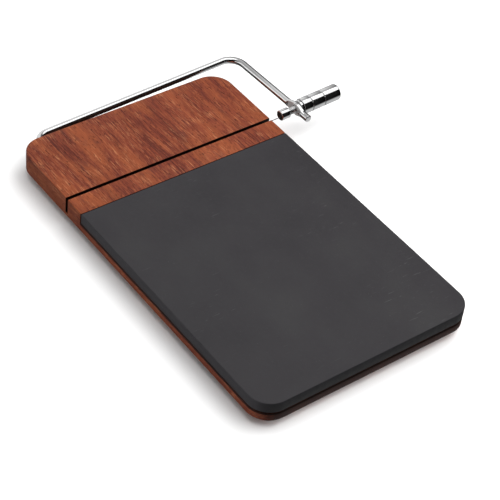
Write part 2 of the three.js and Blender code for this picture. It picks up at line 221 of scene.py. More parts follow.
def threaded(outline, start, end, pitch, depth, axis="X", sides=48, steps=10):
    """A turned solid whose stretch from start to end carries a helical thread."""
    stations = []
    for (x0, r0), (x1, r1) in zip(outline, outline[1:]):
        stations.append((x0, r0))
        if x0 < end and x1 > start and abs(x1 - x0) > pitch:
            count = int(abs(x1 - x0) / pitch * steps)
            stations += [(lerp(x0, x1, k / count), lerp(r0, r1, k / count))
                         for k in range(1, count)]
    stations.append(outline[-1])
    runout = 1.2 * pitch
    rings = []
    for x, r in stations:
        fade = smoothstep(x, start, start + runout) * smoothstep(-x, -end, runout - end)
        ring = []
        for i in range(sides):
            turn = i / sides
            wave = abs(((x / pitch - turn) % 1.0) * 2 - 1)
            radius = r - depth * fade * smoothstep(wave, 0.08, 0.92)
            ring.append(around(axis, x, radius, 2 * math.pi * turn))
        rings.append(ring)
    return grid_solid(rings)


def rounded(corners, steps=4):
    """An outline of (along, radius, rounding) corners, with each corner rounded off."""
    points = []
    for i, (x, r, rounding) in enumerate(corners):
        here = Vector((x, r))
        if not rounding or i in (0, len(corners) - 1):
            points.append((x, r))
            continue
        before = Vector(corners[i - 1][:2]) - here
        after = Vector(corners[i + 1][:2]) - here
        start = here + before.normalized() * rounding
        end = here + after.normalized() * rounding
        for k in range(steps + 1):
            t = k / steps
            point = start * (1 - t) ** 2 + here * 2 * t * (1 - t) + end * t ** 2
            points.append((point.x, point.y))
    return points


def plan_outline(front, back, inset, round_back, steps=22):
    """The board's plan outline, anticlockwise seen from above."""
    half, r = BOARD_WIDTH / 2 - inset, CORNER_RADIUS - inset
    y0, y1 = front + inset, back - inset
    corners = [(half - r, y0 + r, -90)]
    corners += [(half - r, y1 - r, 0), (r - half, y1 - r, 90)] if round_back else []
    points = []
    for cx, cy, start in corners + [(r - half, y0 + r, 180)]:
        if start == 180 and not round_back:
            points += [(half, y1), (-half, y1)]
        for k in range(steps + 1):
            angle = math.radians(start + 90 * k / steps)
            points.append((cx + r * math.cos(angle), cy + r * math.sin(angle)))
    return points


def prism(outline, bottom, top):
    return grid_solid([[(x, y, z) for x, y in outline] for z in (bottom, top)])


def block(low, high):
    corners = [(low[0], low[1]), (high[0], low[1]), (high[0], high[1]), (low[0], high[1])]
    return prism(corners, low[2], high[2])


def mesh_of(bm, name="tool"):
    mesh = bpy.data.meshes.new(name)
    bm.to_mesh(mesh)
    bm.free()
    return mesh


def put_in_scene(name, data):
    obj = bpy.data.objects.new(name, data)
    bpy.context.scene.collection.objects.link(obj)
    return obj


def discard(obj):
    mesh = obj.data
    bpy.data.objects.remove(obj)
    bpy.data.meshes.remove(mesh)


def with_modifiers(obj):
    """The object's mesh with its modifiers applied, as a fresh bmesh; the object goes."""
    depsgraph = bpy.context.evaluated_depsgraph_get()
    bm = bmesh.new()
    bm.from_mesh(obj.evaluated_get(depsgraph).to_mesh())
    discard(obj)
    return bm


def cut(bm, *tools):
    """bm less each of the tools."""
    obj = put_in_scene("work", mesh_of(bm))
    cutters = [put_in_scene("work", mesh_of(tool)) for tool in tools]
    for cutter in cutters:
        modifier = obj.modifiers.new("cut", "BOOLEAN")
        modifier.operation, modifier.solver = "DIFFERENCE", "EXACT"
        modifier.object = cutter
    result = with_modifiers(obj)
    for cutter in cutters:
        discard(cutter)
    flat = math.radians(0.4)
    bmesh.ops.dissolve_limit(result, angle_limit=flat, verts=result.verts, edges=result.edges)
    return result


def soften(bm, width, weight, segments=3):
    """Rounds sharp edges: weight(edge) gives each one's share of the width."""
    layer = bm.edges.layers.float.new("bevel_weight_edge")
    for edge in bm.edges:
        sharp = len(edge.link_faces) == 2 and edge.calc_face_angle() > math.radians(40)
        edge[layer] = weight(edge) if sharp else 0.0
    obj = put_in_scene("work", mesh_of(bm))
    modifier = obj.modifiers.new("soften", "BEVEL")
    modifier.width, modifier.segments, modifier.limit_method = width, segments, "WEIGHT"
    modifier.use_clamp_overlap = False
    modifier.miter_outer = "MITER_ARC"
    return with_modifiers(obj)


def add_piece(name, bm, place, body, node, materials, pick=None, smooth=32):
    """Makes a finished piece that stands for its CAD node and rides on its body."""
    bmesh.ops.transform(bm, matrix=place, verts=bm.verts)
    for face in bm.faces:
        face.smooth = True
        face.material_index = pick(face) if pick else 0
    mesh = mesh_of(bm, name)
    for material in materials:
        mesh.materials.append(material)
    mesh.set_sharp_from_angle(angle=math.radians(smooth))
    obj = put_in_scene(name, mesh)
    if body:
        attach(obj, body)
    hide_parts(node)
    return obj


# ---- node helpers -------------------------------------------------------------------------

class Nodes:
    """A node tree, built by short calls."""

    def __init__(self, tree):
        self.tree = tree

    def node(self, kind):
        return self.tree.nodes.new("ShaderNode" + kind)

    def link(self, value, socket):
        if isinstance(value, bpy.types.NodeSocket):
            self.tree.links.new(value, socket)
        elif value is not None:
            socket.default_value = value

    def vector(self, operation, a, b=None, scale=None):
        node = self.node("VectorMath")
        node.operation = operation
        self.link(a, node.inputs[0])
        self.link(b, node.inputs[1])
        if operation == "SCALE":
            self.link(scale, node.inputs["Scale"])
        return node.outputs["Value" if operation == "DOT_PRODUCT" else "Vector"]

    def math(self, operation, a, b=None):
        node = self.node("Math")
        node.operation = operation
        self.link(a, node.inputs[0])
        self.link(b, node.inputs[1])
        return node.outputs[0]

    def weighted(self, *parts):
        """The sum of (value, share) parts."""
        total = None
        for value, share in parts:
            part = self.math("MULTIPLY", value, share)
            total = part if total is None else self.math("ADD", total, part)
        return total

    def axes(self, vector):
        node = self.node("SeparateXYZ")
        self.link(vector, node.inputs[0])
        return node.outputs

    def span(self, value, low, high, out_low=0.0, out_high=1.0, smooth=False):
        """The value's stretch from low to high, mapped to another and held at its ends."""
        node = self.node("MapRange")
        node.interpolation_type = "SMOOTHSTEP" if smooth else "LINEAR"
        node.clamp = True
        sockets = ("Value", "From Min", "From Max", "To Min", "To Max")
        for socket, number in zip(sockets, (value, low, high, out_low, out_high)):
            self.link(number, node.inputs[socket])
        return node.outputs["Result"]

    def mix_levels(self, factor, a, b):
        node = self.node("Mix")
        for i, value in ((0, factor), (2, a), (3, b)):
            self.link(value, node.inputs[i])
        return node.outputs[0]

    def mix(self, factor, a, b):
        node = self.node("Mix")
        node.data_type = "RGBA"
        self.link(factor, node.inputs["Factor"])
        for socket, value in (("A", a), ("B", b)):
            target = next(s for s in node.inputs if s.name == socket and s.type == "RGBA")
            self.link((*value, 1.0) if isinstance(value, tuple) else value, target)
        return next(s for s in node.outputs if s.type == "RGBA")

    def ramp(self, value, *stops):
        node = self.node("ValToRGB")
        self.link(value, node.inputs[0])
        elements = node.color_ramp.elements
        elements.remove(elements[1])
        for i, (at, color) in enumerate(stops):
            element = elements[0] if i == 0 else elements.new(at)
            element.position, element.color = at, (*color, 1.0)
        return node.outputs["Color"]

    def noise(self, place, detail=2.0, roughness=0.5, distortion=0.0):
        node = self.node("TexNoise")
        self.link(place, node.inputs["Vector"])
        for socket, number in (("Scale", 1.0), ("Detail", detail), ("Roughness", roughness),
                               ("Distortion", distortion)):
            self.link(number, node.inputs[socket])
        return node.outputs["Fac"]


class Look(Nodes):
    """A material. Lengths in its nodes are in millimetres."""

    def __init__(self, name):
        self.material = bpy.data.materials.new(name)
        self.material.use_nodes = True
        super().__init__(self.material.node_tree)
        self.shader = self.tree.nodes["Principled BSDF"]
        self.coordinates = self.node("TexCoord")
        self.place = self.vector("SCALE", self.coordinates.outputs["Object"], scale=1 / MM)

    def stretched(self, sizes, shift=(0, 0, 0), place=None):
        """Coordinates in which one unit is sizes millimetres along each axis."""
        moved = self.vector("ADD", place or self.place, shift)
        return self.vector("DIVIDE", moved, sizes)

    def facing(self, axis, share):
        """Up to share where the surface faces along the object's axis, either way."""
        along = self.axes(self.coordinates.outputs["Normal"])[axis]
        return self.span(self.math("ABSOLUTE", along), 0.40, 0.95, 0.0, share)

    def bump(self, height, depth, strength=1.0, under=None):
        """depth is the height's own range, in millimetres."""
        node = self.node("Bump")
        self.link(strength, node.inputs["Strength"])
        self.link(depth * MM, node.inputs["Distance"])
        self.link(height, node.inputs["Height"])
        self.link(under, node.inputs["Normal"])
        return node.outputs["Normal"]

    def finish(self, color, roughness, normal=None, metallic=0.0, specular=0.5):
        self.link((*color, 1.0) if isinstance(color, tuple) else color,
                  self.shader.inputs["Base Color"])
        self.link(roughness, self.shader.inputs["Roughness"])
        self.link(normal, self.shader.inputs["Normal"])
        self.shader.inputs["Metallic"].default_value = metallic
        self.shader.inputs["Specular IOR Level"].default_value = specular
        return self.material


# ---- materials ----------------------------------------------------------------------------

def oiled_wood(name="oiled_red_hardwood", shade=1.0):
    """Reddish-brown hardwood with its grain along Y, under a thin satin oil."""
    look = Look(name)

    def tint(*color):
        return tuple(channel * shade for channel in color)

    # The grain wanders sideways a little.
    wander = look.noise(look.stretched((26, 80, 26)), 1.0)
    sway = look.node("CombineXYZ")
    look.link(look.span(wander, 0.2, 0.8, -3.0, 3.0), sway.inputs["X"])
    place = look.vector("ADD", look.place, sway.outputs[0])

    def figure(sizes, shift, detail, roughness=0.5):
        return look.noise(look.stretched(sizes, shift, place), detail, roughness)

    band = figure((9, 130, 20), (23, 0, 0), 3.0, 0.55)
    grain = figure((1.0, 30, 1.0), (40, 0, 3), 4.0, 0.62)
    fibre = figure((0.48, 9, 0.48), (7, 90, 0), 3.0, 0.65)
    color = look.ramp(
        look.weighted((band, 0.24), (grain, 0.38), (fibre, 0.38)),
        (0.40, tint(0.068, 0.0120, 0.0070)),
        (0.47, tint(0.132, 0.0245, 0.0115)),
        (0.53, tint(0.186, 0.0385, 0.0155)),
        (0.61, tint(0.275, 0.0690, 0.0250)),
    )
    # Warmer orange bands.
    warm = look.span(figure((14, 70, 14), (61, 12, 0), 2.0, 0.55), 0.44, 0.62, 0.0, 0.45, True)
    color = look.mix(warm, color, tint(0.290, 0.0720, 0.0210))
    # Smoky purple-brown patches.
    smoke = look.span(figure((9, 24, 9), (11, 25, 0), 3.0, 0.65), 0.58, 0.72, 0.0, 0.45, True)
    color = look.mix(smoke, color, tint(0.080, 0.0215, 0.0170))
    # Bright fibres, gathered in loose bundles.
    streak = look.span(figure((0.48, 11, 0.48), (3, 60, 0), 1.0), 0.60, 0.67)
    bundle = look.span(figure((8, 36, 8), (80, 0, 0), 1.0), 0.34, 0.54)
    streak = look.math("MULTIPLY", look.math("MULTIPLY", streak, bundle), 0.62)
    color = look.mix(streak, color, tint(0.46, 0.180, 0.080))
    # Open pores: short dark ticks.
    pore = look.span(figure((0.42, 3.0, 0.42), (0, 31, 0), 1.0), 0.61, 0.68)
    color = look.mix(look.math("MULTIPLY", pore, 0.7), color, tint(0.042, 0.0095, 0.0050))
    # End grain is darker in itself; beyond that, painted shade darkens the sides and, far more,
    # the ends, by which way they face.
    color = look.mix(look.facing("X", 0.22), color, tint(0.066, 0.0160, 0.0080))
    color = look.mix(look.facing("Y", 0.93), color, tint(0.010, 0.0030, 0.0018))

    height = look.math("SUBTRACT", look.math("MULTIPLY", fibre, 0.5), pore)
    roughness = look.span(look.math("ADD", fibre, pore), 0.3, 1.2, 0.48, 0.68)
    return look.finish(color, roughness, look.bump(height, 0.06, 0.6), specular=0.15)


def honed_slate():
    """Charcoal stone with a matte honed face, faint clouding, specks and scuffs."""
    look = Look("honed_charcoal_slate")
    cloud = look.noise(look.stretched((34, 46, 20)), 4.0, 0.55)
    mottle = look.noise(look.stretched((2.6, 3.4, 2.6)), 4.0, 0.6)
    color = look.ramp(
        look.weighted((cloud, 0.65), (mottle, 0.35)),
        (0.36, (0.0166, 0.0147, 0.0174)),
        (0.50, (0.0196, 0.0175, 0.0204)),
        (0.64, (0.0232, 0.0218, 0.0236)),
    )
    speck = look.span(look.noise(look.stretched((0.7, 0.9, 0.7)), 1.0), 0.70, 0.80, 0.0, 0.35)
    color = look.mix(speck, color, (0.070, 0.070, 0.070))
    scuff = look.noise(look.stretched((9, 0.6, 9), (5, 0, 0)), 1.0, 0.5, 0.6)
    patch = look.noise(look.stretched((38, 38, 38), (0, 70, 0)), 0.0)
    scuff = look.math("MULTIPLY", look.span(scuff, 0.70, 0.78), look.span(patch, 0.48, 0.62))
    color = look.mix(look.math("MULTIPLY", scuff, 0.60), color, (0.085, 0.085, 0.087))
    # The sawn edges are bluer than the honed face. Painted light and shade by facing: paler at
    # the sides, darker at the ends.
    color = look.mix(look.facing("X", 0.80), color, (0.0330, 0.0300, 0.0350))
    color = look.mix(look.facing("Y", 0.85), color, (0.0050, 0.0045, 0.0062))
    fine = look.noise(look.stretched((0.45, 0.45, 0.45)), 3.0, 0.65)
    roughness = look.span(look.math("ADD", mottle, scuff), 0.3, 0.9, 0.62, 0.78)
    normal = look.bump(fine, 0.035, 0.6)
    normal = look.bump(mottle, 0.10, 0.35, normal)
    return look.finish(color, roughness, normal, specular=0.4)


def polished_chrome(name, along, polish=0.06):
    """Plated metal with faint smears and hairlines that run along the piece."""
    look = Look(name)
    smear = look.noise(look.stretched((7, 7, 7)), 3.0, 0.6)
    sizes = [0.12, 0.12, 0.12]
    sizes[along] = 14
    hair = look.noise(look.stretched(tuple(sizes)), 2.0, 0.6)
    color = look.ramp(smear, (0.3, (0.66, 0.66, 0.665)), (0.7, (0.70, 0.70, 0.70)))
    roughness = look.math("ADD", look.span(smear, 0.35, 0.7, polish, polish + 0.05),
                          look.span(hair, 0.6, 0.75, 0.0, 0.05))
    return look.finish(color, roughness, look.bump(hair, 0.002, 0.25), metallic=1.0)


def brushed_steel(name, shade, rough, sizes, metallic=1.0):
    """Plain steel with fine lines and faint stains; sizes are the lines' own."""
    look = Look(name)
    line = look.noise(look.stretched(sizes), 3.0, 0.65)
    stain = look.noise(look.stretched((3, 3, 3)), 3.0, 0.6)
    color = look.ramp(stain, (0.3, (shade * 0.86,) * 3), (0.7, (shade, shade, shade * 0.99)))
    roughness = look.span(line, 0.3, 0.7, rough - 0.07, rough + 0.10)
    return look.finish(color, roughness, look.bump(line, 0.006, 0.35), metallic=metallic)


def moulded_rubber():
    look = Look("black_moulded_rubber")
    grain = look.noise(look.stretched((0.22, 0.22, 0.22)), 2.0, 0.6)
    dust = look.noise(look.stretched((2.5, 2.5, 2.5)), 3.0, 0.6)
    color = look.ramp(dust, (0.35, (0.010, 0.010, 0.0105)), (0.75, (0.024, 0.024, 0.024)))
    return look.finish(color, look.span(dust, 0.3, 0.7, 0.68, 0.86),
                       look.bump(grain, 0.03, 0.5), specular=0.3)


def cured_silicone():
    look = Look("dark_silicone")
    ripple = look.noise(look.stretched((1.5, 1.5, 1.5)), 2.0)
    color = look.ramp(ripple, (0.3, (0.008, 0.007, 0.007)), (0.7, (0.014, 0.012, 0.011)))
    return look.finish(color, look.span(ripple, 0.3, 0.7, 0.45, 0.6),
                       look.bump(ripple, 0.08, 0.5))


WOOD = oiled_wood()
# The wood at 0.16 of its brightness: darker in the kerf and bore, and painted shade at the joint
# round the slab.
DARK_CUTS_AND_JOINT_SHADE = oiled_wood("dark_cuts_and_painted_joint_shade", 0.16)
SLATE = honed_slate()
ROD_CHROME = polished_chrome("rod_chrome", 0)
KNOB_CHROME = polished_chrome("turned_chrome", 1, 0.07)
PRESSED = brushed_steel("pressed_eye_faces", 0.66, 0.50, (0.10, 4.0, 4.0), metallic=0.4)
DRAWN_WIRE = brushed_steel("drawn_wire", 0.22, 0.36, (5.0, 0.08, 0.08))
FIXING = brushed_steel("zinc_fixings", 0.55, 0.36, (0.5, 0.5, 0.5))
# Painted shade: near-black steel for the holder's slot, pocket and dished front.
SHADED_STEEL = brushed_steel("painted_shade_steel_in_slot", 0.10, 0.45, (0.5, 0.5, 0.5))
RUBBER = moulded_rubber()
SILICONE = cured_silicone()


# ---- board, slab and bond -----------------------------------------------------------------

WOOD_ROUNDING = 1.3  # along the ledge, where it shows under the slab; the rest are shares of it
RISER_SHARE = 0.6
OUTER_SHARE = 0.46
CUT_SHARE = 0.14
KERF_END_SHARE = 0.07


def wood_board():
    blank = prism(plan_outline(0, BOARD_LENGTH, 0, True), 0, BOARD_THICKNESS)
    wide = BOARD_WIDTH
    rabbet = block((-wide, -wide, LEDGE), (wide, LEDGE_LENGTH, 2 * wide))
    kerf = block((-wide, KERF_Y - KERF_HALF_WIDTH, KERF_FLOOR),
                 (wide, KERF_Y + KERF_HALF_WIDTH, 2 * wide))
    bore = turned([(PIVOT_TIP_Y - 1, PIVOT_BORE_RADIUS), (BOARD_LENGTH + 9, PIVOT_BORE_RADIUS)],
                  sides=48)
    bore.transform(Matrix.Translation((PIVOT_X, 0, PIVOT_HEIGHT))
                   @ Matrix.Rotation(math.radians(90), 4, "Z"))
    pilots = []
    for _, x, y in FEET:
        pilot = turned([(-1, PILOT_RADIUS), (PILOT_DEPTH, PILOT_RADIUS)], "Z", 32)
        pilot.transform(Matrix.Translation((x, y, 0)))
        pilots.append(pilot)
    bm = cut(blank, rabbet, kerf, bore, *pilots)

    def weight(edge):
        a, b = (v.co for v in edge.verts)
        middle = (a + b) / 2

        def lies_at(height):
            return abs(a.z - height) < NEAR and abs(b.z - height) < NEAR

        near_pilot = any(abs(middle.x - x) < 3 and abs(middle.y - y) < 3 for _, x, y in FEET)
        near_bore = (abs(middle.x - PIVOT_X) < 3 and abs(middle.z - PIVOT_HEIGHT) < 3
                     and middle.y > PIVOT_TIP_Y - 10)
        if near_pilot or near_bore:
            return 0.0
        on_top = lies_at(BOARD_THICKNESS)
        if on_top and (abs(middle.y - KERF_Y) < 2 or abs(middle.y - LEDGE_LENGTH) < 0.1):
            return CUT_SHARE
        if on_top or lies_at(0):
            return OUTER_SHARE
        if lies_at(LEDGE) and middle.y < LEDGE_LENGTH - 0.1:
            return 1.0
        if abs(abs(middle.x) - BOARD_WIDTH / 2) < NEAR and middle.z > LEDGE - 0.1:
            return RISER_SHARE if middle.y < LEDGE_LENGTH + 0.1 else KERF_END_SHARE
        return 0.0

    bm = soften(bm, WOOD_ROUNDING, weight)

    def is_dark_wood(face):
        """Whether a face takes the darker wood: in the kerf, in the bore, or at the joint round
        the slab, where the dark is painted shade.
        """
        at = BOARD.inverted() @ face.calc_center_median()
        normal = face.normal
        in_kerf = abs(at.y - KERF_Y) < KERF_HALF_WIDTH + 0.01 and at.z > KERF_FLOOR - 0.1
        in_bore = (math.hypot(at.x - PIVOT_X, at.z - PIVOT_HEIGHT) < PIVOT_BORE_RADIUS + 0.05
                   and PIVOT_TIP_Y - 2 < at.y < BOARD_LENGTH - 0.1)
        # Painted shade: the ledge's rounded edge under the slab and the rounded corner at the
        # slab's back stand in for the shadow in the gap.
        in_joint_shade = (LEDGE - WOOD_ROUNDING - 0.05 < at.z < LEDGE - NEAR
                    and at.y < LEDGE_LENGTH and 0.1 < normal.z < 0.99)
        in_corner_shade = (abs(at.y - LEDGE_LENGTH) < 0.8 and at.z > LEDGE
                     and abs(normal.z) < 0.1 and 0.1 < abs(normal.x) < 0.99)
        return int(in_kerf or in_bore or in_joint_shade or in_corner_shade)

    add_piece("board", bm, BOARD, "board", "wood_board", [WOOD, DARK_CUTS_AND_JOINT_SHADE], is_dark_wood)


def stone_slab():
    bm = prism(plan_outline(0, SLAB_LENGTH, 0, False), SLAB_UNDERSIDE, BOARD_THICKNESS)

    def weight(edge):
        """Crisper at the back, where the slab meets the wood."""
        a, b = (v.co for v in edge.verts)
        back = abs(a.y - SLAB_LENGTH) < NEAR and abs(b.y - SLAB_LENGTH) < NEAR
        upright = abs(a.z - b.z) > 1
        return (0.15 if upright else 0.4) if back else 1.0

    bm = soften(bm, 0.6, weight)
    add_piece("slab", bm, BOARD, "board", "stone_slab", [SLATE])


def slab_bond():
    gap = 0.005
    bm = prism(plan_outline(0, SLAB_LENGTH, BOND_INSET, False), LEDGE + gap,
               SLAB_UNDERSIDE - gap)
    bm = soften(bm, 0.12, lambda edge: 1.0, 2)
    add_piece("bond", bm, BOARD, "board", "slab_adhesive", [SILICONE])


# ---- feet ---------------------------------------------------------------------------------

def foot(label, x, y):
    """A rubber foot with the washer and the cross-head screw that hold it."""
    place = BOARD @ Matrix.Translation((x, y, 0))
    tip = FOOT_LOW.z - WOOD_LOW.z
    roof = tip + FOOT_RECESS_HEIGHT
    outline = rounded([
        (tip, FOOT_RECESS_RADIUS, 0), (tip, FOOT_TIP_RADIUS, 0.5), (0, FOOT_RADIUS, 0.25),
        (0, FOOT_HOLE_RADIUS, 0.2), (roof, FOOT_HOLE_RADIUS, 0.2),
        (roof, FOOT_RECESS_RADIUS, 0.3), (tip, FOOT_RECESS_RADIUS, 0),
    ])[:-1]
    add_piece("rubber_foot_" + label, turned(outline, "Z", 64, closed=True), place, "board",
              "foot_" + label, [RUBBER])

    face = roof - WASHER_THICKNESS
    ring = rounded([
        (face, WASHER_HOLE_RADIUS, 0), (face, WASHER_RADIUS, 0.12), (roof, WASHER_RADIUS, 0.12),
        (roof, WASHER_HOLE_RADIUS, 0.08), (face, WASHER_HOLE_RADIUS, 0),
    ], 2)[:-1]
    add_piece("foot_plate_" + label, turned(ring, "Z", 48, closed=True), place, "board",
              "foot_washer_" + label, [FIXING])

    head = face - SCREW_HEAD_HEIGHT
    r = SCREW_HEAD_RADIUS
    outline = [(head, 0.001), (head, 1.2), (head + 0.1, 1.75), (head + 0.35, 2.12),
               (head + 0.7, r - 0.02), (face - 0.1, r), (face, r - 0.1), (face, SCREW_RADIUS),
               (SCREW_DEPTH - 0.8, SCREW_RADIUS), (SCREW_DEPTH, 0.05)]
    screw = threaded(outline, face + 0.4, SCREW_DEPTH - 0.6, SCREW_PITCH, SCREW_THREAD_DEPTH,
                     "Z", 32, 8)
    recesses = []
    for width, length in ((2.3, 0.5), (0.5, 2.3)):
        rings = [[(sx * width / 2 * taper, sy * length / 2 * taper, z)
                  for sx, sy in ((-1, -1), (1, -1), (1, 1), (-1, 1))]
                 for taper, z in ((1.0, head - 0.2), (0.62, head + 0.75))]
        recesses.append(grid_solid(rings))
    add_piece("wood_screw_" + label, cut(screw, *recesses), place, "board",
              "foot_screw_" + label, [FIXING])


# ---- bow ----------------------------------------------------------------------------------

def section(x, y, heading, half=ROD_RADIUS, height=ROD_RADIUS, squareness=2.0):
    return x, y, heading, half, height, squareness


def bend(cx, cy, radius, start, end, steps=30):
    for k in range(steps + 1):
        heading = lerp(start, end, k / steps)
        yield section(cx - radius * math.sin(heading), cy + radius * math.cos(heading), heading)


def bow_sections():
    """The rod's sections from the pivot leg's tip to the stub's end."""
    north, leg = math.pi / 2, -math.pi / 2 + LEG_SPLAY
    along = Vector((math.cos(leg), math.sin(leg)))
    eye = Vector((EYE_REACH, KERF_Y))
    corner = eye + along * ((CROSS_RUN_Y - KERF_Y) / along.y)
    bend_x = corner.x - LEG_BEND_RADIUS * math.tan(-leg / 2)
    rows = []
    for back, narrower in ROD_END:
        r = ROD_RADIUS - narrower
        rows.append(section(0, PIVOT_TIP_Y + back, north, r, r))
    rows.append(section(0, 230, north))
    rows += bend(PIVOT_BEND_RADIUS, CROSS_RUN_Y - PIVOT_BEND_RADIUS, PIVOT_BEND_RADIUS, north, 0)
    rows += [section(lerp(12, bend_x - 4, k / 12), CROSS_RUN_Y, 0) for k in range(13)]
    rows += bend(bend_x, CROSS_RUN_Y - LEG_BEND_RADIUS, LEG_BEND_RADIUS, 0, leg)
    steps = 90
    for k in range(steps + 1):
        distance = lerp(-EYE_BACK, EYE_FRONT, k / steps)
        u = -distance / EYE_BACK if distance < 0 else distance / EYE_FRONT
        flat = smoothstep(1 - u, 0, 0.2)
        swell = max(0.0, math.cos(u * math.pi / 2)) ** 1.3
        at = eye + along * distance
        rows.append(section(
            at.x, at.y, leg,
            lerp(ROD_RADIUS, EYE_HALF_THICKNESS - 0.005, flat),
            lerp(ROD_RADIUS, EYE_HALF_HEIGHT - 0.01, swell),
            lerp(2, 6, flat),
        ))
    for back, narrower in reversed(ROD_END):
        at = eye + along * (STUB_END - back)
        r = ROD_RADIUS - narrower
        rows.append(section(at.x, at.y, leg, r, r))
    return rows


def swept(rows, sides=72):
    """A solid through sections that go from round, at squareness 2, to nearly square."""
    rings = []
    for x, y, heading, half, height, squareness in rows:
        ring = []
        for i in range(sides):
            angle = 2 * math.pi * (i + 0.5) / sides
            c, s = math.cos(angle), math.sin(angle)
            across = half * math.copysign(abs(c) ** (2 / squareness), c)
            up = height * math.copysign(abs(s) ** (2 / squareness), s)
            ring.append((x + across * math.sin(heading), y - across * math.cos(heading), up))
        rings.append(ring)
    return grid_solid(rings)


def bow():
    t, edge = EYE_HALF_THICKNESS, 0.28
    r = EYE_HOLE_RADIUS
    hole = turned([(-4, r + 4 - t + edge), (-t + edge, r), (t - edge, r), (4, r + 4 - t + edge)],
                  sides=64)
    hole.transform(Matrix.Translation((EYE_REACH, KERF_Y, 0)))
    wire_hole = turned([(-ROD_RADIUS - 1, 1.6), (-ROD_RADIUS + 0.1, 0.55),
                        (ROD_RADIUS - 0.1, 0.55), (ROD_RADIUS + 1, 1.6)], sides=32)
    wire_hole.transform(Matrix.Translation((0, KERF_Y, 0)))
    dimple = turned([(-1.5, 0.62), (0.5, 0.6), (0.8, 0.05)], sides=32)
    dimple.transform(Matrix.Translation((EYE_REACH - EYE_HALF_THICKNESS, KERF_Y - 4, -1)))
    bm = cut(swept(bow_sections()), hole, wire_hole, dimple)

    def is_pressed(face):
        """Whether a face is on the eye's flat sides."""
        at = BOW.inverted() @ face.calc_center_median()
        flat = abs((BOW_TURN.inverted() @ face.normal).x) > 0.93
        return int(flat and abs(at.x - EYE_REACH) < 1.9 and abs(at.y - KERF_Y) < 9
                   and at.y > KERF_Y - STUB_END + 1)

    add_piece("bow_rod", bm, BOW, "bow", "wire_bow", [ROD_CHROME, PRESSED],
              is_pressed)


# ---- wire and its beads -------------------------------------------------------------------

# From the pivot axis to a point below the holder's axis, down its slot.
WIRE_END = Vector((
    HOLDER_START + HOLDER_POCKET,
    -WIRE_OFFSET * math.sin(SLOT_ANGLE),
    -WIRE_OFFSET * math.cos(SLOT_ANGLE),
))
PIVOT_BEAD = -(CAD_ROD_RADIUS + BEAD_HALF_LENGTH + 0.1)
HOLDER_BEAD = WIRE_END.length - 0.1
ALONG_WIRE = (BOW @ Matrix.Translation((0, KERF_Y, 0))
              @ Vector((1, 0, 0)).rotation_difference(WIRE_END).to_matrix().to_4x4())


def wire():
    """A thin tube made of many short rings."""
    start, end = PIVOT_BEAD - BEAD_HALF_LENGTH - 0.19, HOLDER_BEAD + BEAD_HALF_LENGTH - 0.01
    r, chamfer, steps = WIRE_RADIUS - 0.003, 0.06, 180
    outline = [(start, r - chamfer), (start + chamfer, r)]
    outline += [(lerp(start + 0.5, end - 0.5, k / steps), r) for k in range(steps + 1)]
    outline += [(end - chamfer, r), (end, r - chamfer)]
    obj = add_piece("wire", turned(outline, sides=24), ALONG_WIRE, None,
                    "cutting_wire", [DRAWN_WIRE])
    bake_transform(obj)


def bead(name, reach, body, node):
    bore, steps = 0.35, 16
    widest = math.asin(BEAD_HALF_LENGTH / BEAD_RADIUS)
    outline = [(-BEAD_HALF_LENGTH, bore)]
    for k in range(steps + 1):
        angle = lerp(-widest, widest, k / steps)
        outline.append((BEAD_RADIUS * math.sin(angle) * 0.995,
                        (BEAD_RADIUS - 0.005) * math.cos(angle)))
    outline.append((BEAD_HALF_LENGTH, bore))
    bm = turned(outline, sides=48, closed=True)
    # The crimp leaves two shallow flats.
    for vert in bm.verts:
        if math.hypot(vert.co.y, vert.co.z) > 0.4:
            vert.co.z = math.copysign(min(abs(vert.co.z), 0.86), vert.co.z)
    place = ALONG_WIRE @ Matrix.Translation((reach, 0, 0))
    add_piece(name, bm, place, body, node, [FIXING])


# ---- tension hardware ---------------------------------------------------------------------

def holder():
    """The slotted head that grips the wire's bead, and its threaded shank."""
    shoulder = HOLDER_START + HOLDER_LENGTH
    outline = rounded([
        (HOLDER_START + 0.5, 0.01, 0), (HOLDER_START + 0.4, 1.2, 0.3),
        (HOLDER_START, HOLDER_RADIUS - 0.9, 0.3), (HOLDER_START + 0.1, HOLDER_RADIUS, 0.6),
        (shoulder, HOLDER_RADIUS, 0.4), (shoulder, SHANK_RADIUS, 0),
    ])
    outline += [(SHANK_END - 0.6, SHANK_RADIUS), (SHANK_END, SHANK_RADIUS - 0.6),
                (SHANK_END, 0.01)]
    bm = threaded(outline, shoulder + 0.2, SHANK_END - 0.4, THREAD_PITCH, THREAD_DEPTH,
                  sides=64)
    middle = HOLDER_START + HOLDER_POCKET
    past = HOLDER_RADIUS + 1
    slot = block((HOLDER_START - 1, -SLOT_WIDTH / 2, -past),
                 (middle, SLOT_WIDTH / 2, SLOT_WIDTH / 2 - WIRE_OFFSET))
    pocket = turned([(-past, POCKET_RADIUS), (POCKET_RADIUS - WIRE_OFFSET, POCKET_RADIUS)],
                    "Z", 40)
    pocket.transform(Matrix.Translation((middle, 0, 0)))
    for tool in (slot, pocket):
        tool.transform(Matrix.Rotation(-SLOT_ANGLE, 4, "X"))
    bm = cut(bm, slot, pocket)
    bm.transform(Matrix.Translation((0, KERF_Y, 0)))

    def is_painted_shade_face(face):
        """Whether a face is in the slot, the pocket or the dished middle of the front, which all
        get painted shade.
        """
        at = BOW.inverted() @ face.calc_center_median()
        off_axis = math.hypot(at.y - KERF_Y, at.z)
        dished = at.x < HOLDER_START + 0.6 and off_axis < HOLDER_RADIUS - 0.95
        inside = at.x < shoulder - 0.5 and 0.05 < off_axis < HOLDER_RADIUS - 0.75
        return int(dished or inside)

    add_piece("slotted_holder", bm, BOW, "holder", "wire_holder",
              [KNOB_CHROME, SHADED_STEEL], is_painted_shade_face, smooth=40)


